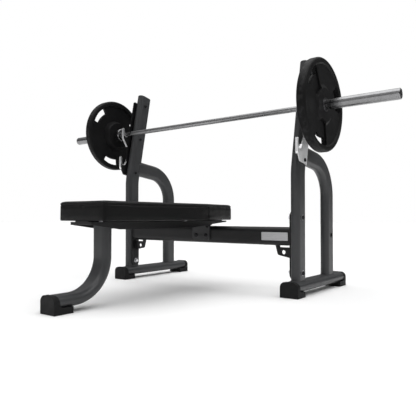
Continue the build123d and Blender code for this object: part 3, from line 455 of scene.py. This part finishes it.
def plate_rubber(name):
    """Black rubber plate: the rim is slightly darker, its tread scuffed by the floor."""
    rim_start, rim_full = 0.196, 0.206
    tread_start, tread_full = 0.2225, 0.2250
    rim_color = (0.0035, 0.0035, 0.0037)
    scuff_color = (0.022, 0.022, 0.023)
    rubber = Finish(name, (0.0042, 0.0042, 0.0045), 0.52, Specular_IOR_Level=0.15)
    _, _, radius = bar_coordinates(rubber)
    rubber.shade_by(rubber.noise(scale=11.0, detail=5.0), low=0.88, high=1.14)
    rubber.shade_by(rubber.noise(scale=700.0, detail=2.0), low=0.9, high=1.12)
    rubber.vary_roughness(rubber.noise(scale=26.0, detail=5.0), spread=0.06)
    rim = rubber.ramp(radius, rim_start, rim_full)
    rubber.tint(rubber.math("MULTIPLY", rim, 0.6), rim_color)
    tread = rubber.ramp(radius, tread_start, tread_full)
    patches = rubber.ramp(rubber.noise(scale=55.0), low=0.45, high=0.62)
    scuffed = rubber.math("MULTIPLY", tread, patches)
    rubber.tint(rubber.math("MULTIPLY", scuffed, 0.6), scuff_color)
    rubber.wear_edges(radius=0.002, share=0.45, color=(0.020, 0.020, 0.021))
    rubber.raise_by(rubber.cells(scale=650.0), distance=0.0003, strength=0.3)
    return rubber.done()


def seam_and_shade_mask(skin):
    """1 on the sewn seam that runs down each side where the pad begins to taper; the vinyl
    paints shade along it.
    """
    seam_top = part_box("pad_cushion")[1].z - SEAM_DROP
    knee = pad_corners(0.0)[PAD_RIGHT_KNEE]
    along_x, along_y = corner_tangent(knee)
    aside = skin.math("SUBTRACT", skin.math("ABSOLUTE", skin.axis("X")), knee.x)
    ahead = skin.math("SUBTRACT", skin.axis("Y"), knee.y)
    product = skin.math("MULTIPLY", aside, along_x)
    offset = skin.math("ABSOLUTE", skin.math("MULTIPLY_ADD", ahead, along_y, product))
    core = 0.4 * SEAM_LINE
    line = skin.ramp(offset, core, core + SEAM_LINE, 1.0, 0.0)
    on_side = skin.ramp(skin.math("ABSOLUTE", aside), SEAM_REACH, 2.0 * SEAM_REACH, 1.0, 0.0)
    below = skin.ramp(skin.axis("Z"), seam_top, seam_top + SEAM_LINE, 1.0, 0.0)
    return skin.math("MULTIPLY", skin.math("MULTIPLY", line, on_side), below)


def vinyl(name):
    """Upholstery vinyl: pebbled grain in two sizes, soft gloss, sewn seams darkened with
    painted shade.
    """
    # painted shade: near-black colour standing in for the shadow in the seam's crease
    seam_shade_color = (0.0012, 0.0012, 0.0012)
    gloss = {"Specular_IOR_Level": 0.11, "Sheen_Weight": 0.02, "Sheen_Roughness": 0.5}
    skin = Finish(name, (0.0054, 0.0054, 0.0056), 0.42, **gloss)
    skin.shade_by(skin.noise(scale=7.0, detail=4.0), low=0.96, high=1.04)
    creases = skin.cells(scale=380.0, feature="DISTANCE_TO_EDGE")
    pebbles = skin.ramp(creases, low=0.0, high=0.22)
    skin.shade_by(pebbles, low=0.82, high=1.06)
    skin.vary_roughness(skin.noise(scale=20.0, detail=5.0), spread=0.05)
    skin.raise_by(pebbles, distance=0.0004, strength=0.45)
    skin.raise_by(skin.noise(scale=1200.0, detail=2.0), distance=0.0001, strength=0.3)
    seam_and_shade = seam_and_shade_mask(skin)
    skin.rougher(seam_and_shade, amount=0.5)
    # painted shade: metallic with a near-black colour removes the vinyl's reflection on the
    # seam line
    skin.feed(skin.shader.inputs["Metallic"], seam_and_shade)
    skin.raise_by(skin.math("SUBTRACT", 1.0, seam_and_shade), distance=0.0015, strength=0.9)
    # painted shade: the seam line is tinted towards near black
    skin.tint(skin.math("MULTIPLY", seam_and_shade, 0.8), seam_shade_color)
    return skin.done()


def plywood(name):
    """Birch plywood: long grain on the faces, dark and light plies at the edges."""
    ply_thickness = 0.0022
    ply_color = (0.22, 0.13, 0.06)
    wood = Finish(name, (0.42, 0.29, 0.16), 0.62)
    grain = wood.noise(scale=9.0, detail=7.0, stretch=(14.0, 1.0, 14.0), roughness=0.65)
    wood.shade_by(grain, low=0.72, high=1.12)
    plies = wood.math("SINE", wood.math("MULTIPLY", wood.axis("Z"), math.pi / ply_thickness))
    wood.tint(wood.ramp(plies, low=-0.2, high=0.4, to_low=0.0, to_high=0.3), ply_color)
    wood.vary_roughness(grain, spread=0.07)
    wood.raise_by(grain, distance=0.0006, strength=0.4)
    return wood.done()


def anodised_badge(name):
    """Satin aluminium, brushed along the beam, its edges worn bright."""
    badge = Finish(name, (0.56, 0.56, 0.57), 0.42, metallic=0.85)
    lines = badge.noise(scale=50.0, detail=6.0, stretch=(0.6, 20.0, 20.0), roughness=0.7)
    badge.shade_by(lines, low=0.84, high=1.1)
    badge.vary_roughness(badge.noise(scale=40.0, detail=4.0), spread=0.06)
    badge.wear_edges(radius=0.001, share=0.6, color=(0.62, 0.62, 0.63))
    badge.raise_by(lines, distance=0.0001, strength=0.3)
    return badge.done()


GREY = (0.0395, 0.0405, 0.0425)
BLACK = (0.0075, 0.0075, 0.0080)
CHARCOAL = (0.034, 0.034, 0.0355)
FINISHES = {
    "grey_paint": powder_coat("grey_paint", GREY, 0.36, (0.10, 0.10, 0.105), 0.4),
    "black_paint": powder_coat("black_paint", BLACK, 0.40, (0.035, 0.035, 0.037), 0.3),
    "bracket_paint": powder_coat("bracket_paint", CHARCOAL, 0.40, (0.05, 0.05, 0.052), 0.3),
    "foot_rubber": moulded_rubber("foot_rubber", (0.0058, 0.0058, 0.0062), 0.62),
    "black_plastic": moulded_plastic("black_plastic", (0.009, 0.009, 0.0095), 0.46),
    "guard_steel": brushed_metal("guard_steel", (0.93, 0.93, 0.94), 0.36, (20.0, 20.0, 0.8)),
    "badge_metal": anodised_badge("badge_metal"),
    "pad_vinyl": vinyl("pad_vinyl"),
    "board_wood": plywood("board_wood"),
    "bar_chrome": chrome_bar("bar_chrome"),
    "bushing_bronze": turned_metal("bushing_bronze", (0.52, 0.33, 0.15), 0.34, 0.0009),
    "plate_rubber": plate_rubber("plate_rubber"),
    "hub_steel": turned_metal("hub_steel", (0.11, 0.11, 0.115), 0.38, 0.0008),
    "zinc_fasteners": fastener_metal("zinc_fasteners", (0.72, 0.72, 0.74), 0.30),
    "dark_fasteners": fastener_metal("dark_fasteners", (0.035, 0.035, 0.037), 0.45),
}


# ------------------------------------------------------------------ mesh helpers

def new_piece(name, mesh, slot, body="frame"):
    """Put a mesh in the scene as a piece of the object."""
    piece = bpy.data.objects.new(name, mesh)
    bpy.context.scene.collection.objects.link(piece)
    mesh.materials.clear()
    mesh.materials.append(FINISHES[slot])
    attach(piece, body)
    return piece


def frozen(obj):
    """A new mesh of the object with its modifiers applied."""
    graph = bpy.context.evaluated_depsgraph_get()
    graph.update()
    return bpy.data.meshes.new_from_object(obj.evaluated_get(graph))


def apply_modifiers(obj):
    """Replace the object's mesh by what its modifiers make of it."""
    mesh = frozen(obj)
    obj.modifiers.clear()
    obj.data = mesh


def points_of(mesh):
    flat = np.empty(len(mesh.vertices) * 3)
    mesh.vertices.foreach_get("co", flat)
    return flat.reshape(-1, 3)


def set_points(mesh, points):
    mesh.vertices.foreach_set("co", points.ravel())
    mesh.update()


def smooth(mesh):
    mesh.polygons.foreach_set("use_smooth", [True] * len(mesh.polygons))


def tube_along(points, radii, sides, closed):
    """Vertices and faces of a tube laid along points, with one radius for each."""
    count = len(points)
    verts, faces = [], []
    for i, point in enumerate(points):
        before = points[i - 1] if closed or i else point
        after = points[(i + 1) % count] if closed or i < count - 1 else point
        tangent = (after - before).normalized()
        if i:
            aside = (aside - tangent * aside.dot(tangent)).normalized()
        else:
            aside = tangent.orthogonal().normalized()
        up = tangent.cross(aside)
        for j in range(sides):
            angle = 2.0 * math.pi * j / sides
            offset = aside * math.cos(angle) + up * math.sin(angle)
            verts.append(point + offset * radii[i])
    for i in range(count if closed else count - 1):
        here, there = i * sides, ((i + 1) % count) * sides
        for j in range(sides):
            k = (j + 1) % sides
            faces.append((here + j, here + k, there + k, there + j))
    if not closed:
        faces.append(tuple(range(sides))[::-1])
        faces.append(tuple(range((count - 1) * sides, count * sides)))
    return verts, faces


def resampled(corners, step, closed):
    """Points at an even step along a polyline."""
    loop = list(corners) + ([corners[0]] if closed else [])
    lengths = [(b - a).length for a, b in zip(loop, loop[1:])]
    total = sum(lengths)
    count = max(2, round(total / step))
    points, leg, walked = [], 0, 0.0
    for i in range(count if closed else count + 1):
        target = total * i / count
        while leg < len(lengths) - 1 and walked + lengths[leg] < target:
            walked += lengths[leg]
            leg += 1
        share = (target - walked) / lengths[leg]
        points.append(loop[leg].lerp(loop[leg + 1], min(share, 1.0)))
    return points


# ------------------------------------------------------------------ weld beads

def oval_points():
    """The tube's oval section: long half along u, short half along v."""
    points = []
    for i in range(OVAL_POINTS):
        angle = 2.0 * math.pi * i / OVAL_POINTS
        u, v = TUBE_ROUND * math.cos(angle), TUBE_ROUND * math.sin(angle)
        points.append((u + math.copysign(TUBE_STRAIGHT, u), v))
    return points


def weld_bead(name, paths, slot, closed):
    """Weld beads laid along paths, with the ripples that a welder's weave leaves."""
    verts, faces = [], []
    for path in paths:
        line = resampled(path, BEAD_STEP, closed)
        radii = []
        for i in range(len(line)):
            wave = abs(math.sin(math.pi * i * BEAD_STEP / BEAD_PITCH))
            radii.append(BEAD_RADIUS * (1.0 - BEAD_RIPPLE + BEAD_RIPPLE * wave))
        ring_verts, ring_faces = tube_along(line, radii, BEAD_SIDES, closed)
        start = len(verts)
        verts.extend(ring_verts)
        faces.extend(tuple(start + v for v in face) for face in ring_faces)
    mesh = bpy.data.meshes.new(name)
    mesh.from_pydata(verts, [], faces)
    smooth(mesh)
    return new_piece(name, mesh, slot)


def cope_path(x_sign):
    """Where the rear leg's oval meets the back of the leaning upright."""
    path = []
    for u, v in oval_points():
        depth = math.sqrt(max(TUBE_ROUND**2 - v**2, 0.0))
        y = UPRIGHT_Y
        for _ in range(COPE_PASSES):
            z = REAR_LEG_CORNER_Z + (REAR_LEG_Y - y) * REAR_LEG_RISE + u
            axis_y = UPRIGHT_Y + max(z - UPRIGHT_KNEE_Z, 0.0) * UPRIGHT_SLOPE
            y = axis_y + TUBE_STRAIGHT + depth
        path.append(Vector((x_sign * SIDE_X + v, y, z)))
    return path


def add_welds():
    base_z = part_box("base_tube_left")[1].z
    beam_end_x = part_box("crossbeam")[1].x
    gusset_low, gusset_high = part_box("band_gusset_right")
    for side, sign in (("left", -1.0), ("right", 1.0)):
        x = sign * SIDE_X
        feet = [
            [Vector((x + v, y + u, base_z)) for u, v in oval_points()]
            for y in (UPRIGHT_Y, REAR_LEG_Y)
        ]
        weld_bead(f"weld_feet_{side}", feet, "grey_paint", True)
        weld_bead(f"weld_leg_{side}", [cope_path(sign)], "grey_paint", True)
        end_x = sign * beam_end_x
        beam = [Vector((end_x, UPRIGHT_Y + v, BEAM_Z + u)) for u, v in oval_points()]
        weld_bead(f"weld_beam_{side}", [beam], "black_paint", True)
        edges = [
            [
                Vector((end_x, y, gusset_low.z)),
                Vector((end_x, y, gusset_high.z - BEAD_RADIUS)),
            ]
            for y in (gusset_low.y, gusset_high.y)
        ]
        weld_bead(f"weld_gusset_{side}", edges, "black_paint", False)
    leg_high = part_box("front_leg")[1]
    leg_y = leg_high.y - TUBE_ROUND
    leg = [Vector((u, leg_y + v, leg_high.z)) for u, v in oval_points()]
    weld_bead("weld_front_leg", [leg], "black_paint", True)


# ------------------------------------------------------------------ pad

def rounded(corners, radii):
    """Closed plan outline with a round at each corner."""
    points = []
    count = len(corners)
    for i, corner in enumerate(corners):
        to_last = (corners[i - 1] - corner).normalized()
        to_next = (corners[(i + 1) % count] - corner).normalized()
        half = to_last.angle(to_next) / 2.0
        reach = radii[i] / math.tan(half)
        centre = corner + (to_last + to_next).normalized() * radii[i] / math.sin(half)
        start = (corner + to_last * reach - centre).normalized()
        end = (corner + to_next * reach - centre).normalized()
        turns = max(LEAST_TURNS, round(start.angle(end) * radii[i] / OUTLINE_STEP))
        for k in range(turns + 1):
            points.append(centre + start.slerp(end, k / turns) * radii[i])
    return points


def raw_pad():
    """Plain block of the pad, a little larger than the CAD cushion, top edge chamfered."""
    low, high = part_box("pad_cushion")
    bottom = low.z - PAD_BOTTOM_DROP
    top = high.z + PAD_CROWN
    rings = (
        (PAD_INSET, bottom),
        (PAD_INSET, top - PAD_SHOULDER),
        (PAD_INSET + PAD_SHOULDER, top),
    )
    build = bmesh.new()
    loops = []
    for inset, z in rings:
        radii = [max(r - inset + PAD_INSET, PAD_LEAST_RADIUS) for r in PAD_CORNER_RADII]
        outline = rounded(pad_corners(inset), radii)
        loops.append([build.verts.new((p.x, p.y, z)) for p in outline])
    for lower, upper in zip(loops, loops[1:]):
        bmesh.ops.bridge_loops(
            build,
            edges=[
                build.edges.get((a, b)) or build.edges.new((a, b))
                for loop in (lower, upper)
                for a, b in zip(loop, loop[1:] + loop[:1])
            ],
        )
    build.faces.new(loops[0][::-1])
    build.faces.new(loops[-1])
    bmesh.ops.recalc_face_normals(build, faces=build.faces)
    mesh = bpy.data.meshes.new("pad")
    build.to_mesh(mesh)
    build.free()
    return mesh


def inflate(pad):
    """Blow the block up a little with cloth pressure, its underside held to the board."""
    scene = bpy.context.scene
    start = points_of(pad.data)
    floor_z = start[:, 2].min()
    held = np.nonzero(start[:, 2] < floor_z + PAD_PINNED_HEIGHT)[0]
    group = pad.vertex_groups.new(name="held")
    group.add(held.tolist(), 1.0, "REPLACE")
    cloth = pad.modifiers.new("Cloth", "CLOTH")
    settings = cloth.settings
    settings.quality = CLOTH_QUALITY
    settings.use_pressure = True
    settings.uniform_pressure_force = PAD_PRESSURE
    settings.effector_weights.gravity = 0.0
    settings.vertex_group_mass = "held"
    settings.tension_stiffness = CLOTH_STIFFNESS
    settings.compression_stiffness = CLOTH_STIFFNESS
    settings.bending_stiffness = CLOTH_BENDING
    cloth.point_cache.frame_start = 1
    cloth.point_cache.frame_end = PAD_FRAMES
    for step in range(1, PAD_FRAMES + 1):
        scene.frame_set(step)
    mesh = frozen(pad)
    pad.modifiers.clear()
    pad.vertex_groups.clear()
    scene.frame_set(1)
    travel = points_of(mesh) - start
    length = np.linalg.norm(travel, axis=1, keepdims=True)
    travel *= np.minimum(1.0, PAD_TRAVEL_CAP / np.maximum(length, LEAST_TRAVEL))
    set_points(mesh, start + travel)
    pad.data = mesh


def press_seams(mesh):
    """Draw the sewn seams in: one down each corner, one all round below the top."""
    points = points_of(mesh)
    normals = np.empty(len(mesh.vertices) * 3)
    mesh.vertices.foreach_get("normal", normals)
    normals = normals.reshape(-1, 3)
    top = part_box("pad_cushion")[1].z
    upright = np.abs(normals[:, 2]) < SIDE_NORMAL_RISE
    below = np.exp(-(((points[:, 2] - top + SEAM_DROP) / SEAM_HALF_WIDTH) ** 2))
    depth = below * upright
    for corner in pad_corners(0.0):
        along_x, along_y = corner_tangent(corner)
        right = points[:, 0] - corner.x
        ahead = points[:, 1] - corner.y
        near = np.hypot(right, ahead) < SEAM_CORNER_REACH
        to_line = np.abs(right * along_x + ahead * along_y)
        line = np.exp(-((to_line / SEAM_HALF_WIDTH) ** 2))
        on_side = (points[:, 2] < top - SEAM_DROP) & near & upright
        depth = np.maximum(depth, line * on_side)
    set_points(mesh, points - normals * (SEAM_DEPTH * depth)[:, None])


def stitch_mesh(centre, along, out):
    """One stitch: a short spindle of thread lying on the vinyl."""
    half = STITCH_LENGTH / 2.0
    # place along the stitch, and thickness there
    shape = ((-1.0, 0.25), (-0.6, 0.9), (0.0, 1.0), (0.6, 0.9), (1.0, 0.25))
    points = []
    radii = []
    for share, swell in shape:
        sink = STITCH_RADIUS * STITCH_SINK * abs(share)
        points.append(centre + along * half * share - out * sink)
        radii.append(STITCH_RADIUS * swell)
    return tube_along(points, radii, STITCH_SIDES, False)


def add_stitches(pad):
    """A row of stitches just above the seam that runs round under the top."""
    tree = BVHTree.FromObject(pad, bpy.context.evaluated_depsgraph_get())
    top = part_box("pad_cushion")[1].z
    row_z = top - SEAM_DROP + STITCH_ABOVE_SEAM
    outline = resampled(rounded(pad_corners(0.0), PAD_CORNER_RADII), STITCH_PITCH, True)
    verts, faces = [], []
    for i, point in enumerate(outline):
        along = (outline[(i + 1) % len(outline)] - outline[i - 1]).normalized()
        outwards = Vector((along.y, -along.x, 0.0))
        origin = Vector((point.x, point.y, row_z)) + outwards * STITCH_RAY_START
        spot, normal, _, _ = tree.ray_cast(origin, -outwards, STITCH_RAY_LENGTH)
        if spot is None:
            continue
        stitch_verts, stitch_faces = stitch_mesh(spot, along, normal)
        start = len(verts)
        verts.extend(stitch_verts)
        faces.extend(tuple(start + v for v in face) for face in stitch_faces)
    mesh = bpy.data.meshes.new("pad_stitches")
    mesh.from_pydata(verts, [], faces)
    smooth(mesh)
    return new_piece("pad_stitches", mesh, "pad_vinyl")


def add_pad():
    """The cushion: block, even mesh, inflated by cloth, subdivided, then sewn in."""
    pad = new_piece("cushion", raw_pad(), "pad_vinyl")
    block = bpy.data.objects.new("pad_block", pad.data.copy())
    bpy.context.scene.collection.objects.link(block)
    remesh = pad.modifiers.new("Remesh", "REMESH")
    remesh.mode = "VOXEL"
    remesh.voxel_size = PAD_VOXEL
    flatten = pad.modifiers.new("Shrinkwrap", "SHRINKWRAP")
    flatten.target = block
    apply_modifiers(pad)
    bpy.data.objects.remove(block)
    inflate(pad)
    settle = pad.modifiers.new("Smooth", "SMOOTH")
    settle.iterations = PAD_SMOOTHING
    subdivide = pad.modifiers.new("Subdivision", "SUBSURF")
    subdivide.levels = 1
    subdivide.render_levels = 1
    apply_modifiers(pad)
    press_seams(pad.data)
    smooth(pad.data)
    pad.data.materials.clear()
    pad.data.materials.append(FINISHES["pad_vinyl"])
    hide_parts("pad_cushion")
    add_stitches(pad)


# ------------------------------------------------------------------ CAD nodes

def round_edges(node, width):
    """Break a CAD node's sharp edges, without touching its mesh."""
    weld = node.modifiers.new("Weld", "WELD")
    weld.merge_threshold = MERGE_DISTANCE
    bevel = node.modifiers.new("Bevel", "BEVEL")
    bevel.width = width
    bevel.segments = BEVEL_SEGMENTS
    bevel.limit_method = "ANGLE"
    bevel.angle_limit = math.radians(BEVEL_ANGLE_DEG)
    bevel.harden_normals = True


def dress_nodes():
    for name, node in NODES.items():
        node.data.materials.clear()
        node.data.materials.append(FINISHES[SLOT_OF_NODE[name]])
        for start, width in ROUNDED_NODES.items():
            if name.startswith(start):
                round_edges(node, width)


# ------------------------------------------------------------------ stage

def stage_piece(name, mesh, material):
    piece = bpy.data.objects.new(name, mesh)
    bpy.context.scene.collection.objects.link(piece)
    mesh.materials.append(material)
    return piece


def add_floor():
    mesh = bpy.data.meshes.new("floor")
    s = FLOOR_HALF_SIZE
    mesh.from_pydata([(-s, -s, 0), (s, -s, 0), (s, s, 0), (-s, s, 0)], [], [(0, 1, 2, 3)])
    paper = Finish("floor_paper", FLOOR_COLOR, 0.9, Specular_IOR_Level=0.1)
    paper.vary_roughness(paper.noise(scale=2.0), spread=0.05)
    stage_piece("floor", mesh, paper.done())


def add_backdrop():
    """White dome behind everything, seen directly but shedding no light."""
    build = bmesh.new()
    bmesh.ops.create_icosphere(build, subdivisions=4, radius=BACKDROP_RADIUS)
    mesh = bpy.data.meshes.new("backdrop")
    build.to_mesh(mesh)
    build.free()
    white = bpy.data.materials.new("backdrop_white")
    white.use_nodes = True
    tree = white.node_tree
    glow = tree.nodes.new("ShaderNodeEmission")
    tree.links.new(glow.outputs[0], tree.nodes["Material Output"].inputs["Surface"])
    dome = stage_piece("backdrop", mesh, white)
    dome.visible_diffuse = False
    dome.visible_glossy = False
    dome.visible_transmission = False
    dome.visible_shadow = False


def add_lights():
    """Soft lamps and a world that is brighter overhead than at the horizon."""
    for name, source, strength, softness in SUNS:
        light = bpy.data.lights.new(name, "SUN")
        light.energy = strength
        light.angle = math.radians(softness)
        lamp = bpy.data.objects.new(name, light)
        lamp.rotation_euler = (-Vector(source)).to_track_quat("-Z", "Y").to_euler()
        bpy.context.scene.collection.objects.link(lamp)
    world = bpy.data.worlds.new("studio")
    world.use_nodes = True
    tree = world.node_tree
    place = tree.nodes.new("ShaderNodeTexCoord")
    height = tree.nodes.new("ShaderNodeSeparateXYZ")
    ramp = tree.nodes.new("ShaderNodeMapRange")
    ramp.interpolation_type = "SMOOTHSTEP"
    ramp.inputs["To Min"].default_value = HORIZON_STRENGTH
    ramp.inputs["To Max"].default_value = ZENITH_STRENGTH
    tree.links.new(place.outputs["Generated"], height.inputs[0])
    tree.links.new(height.outputs["Z"], ramp.inputs["Value"])
    background = tree.nodes["Background"]
    background.inputs["Color"].default_value = (1.0, 1.0, 1.0, 1.0)
    tree.links.new(ramp.outputs["Result"], background.inputs["Strength"])
    bpy.context.scene.world = world
    bpy.context.scene.view_settings.view_transform = "Standard"


def add_camera():
    yaw, pitch = math.radians(CAMERA_YAW_DEG), math.radians(CAMERA_PITCH_DEG)
    look = Vector(
        (-math.sin(yaw) * math.cos(pitch), math.cos(yaw) * math.cos(pitch), math.sin(pitch))
    )
    lens = bpy.data.cameras.new("camera")
    lens.lens = CAMERA_LENS_MM
    lens.sensor_width = CAMERA_SENSOR_MM
    camera = bpy.data.objects.new("camera", lens)
    camera.location = CAMERA_AT
    camera.rotation_euler = look.to_track_quat("-Z", "Y").to_euler()
    bpy.context.scene.collection.objects.link(camera)
    bpy.context.scene.camera = camera


add_camera()
add_lights()
add_floor()
add_backdrop()
dress_nodes()
add_welds()
add_pad()

bpy.context.view_layer.update()
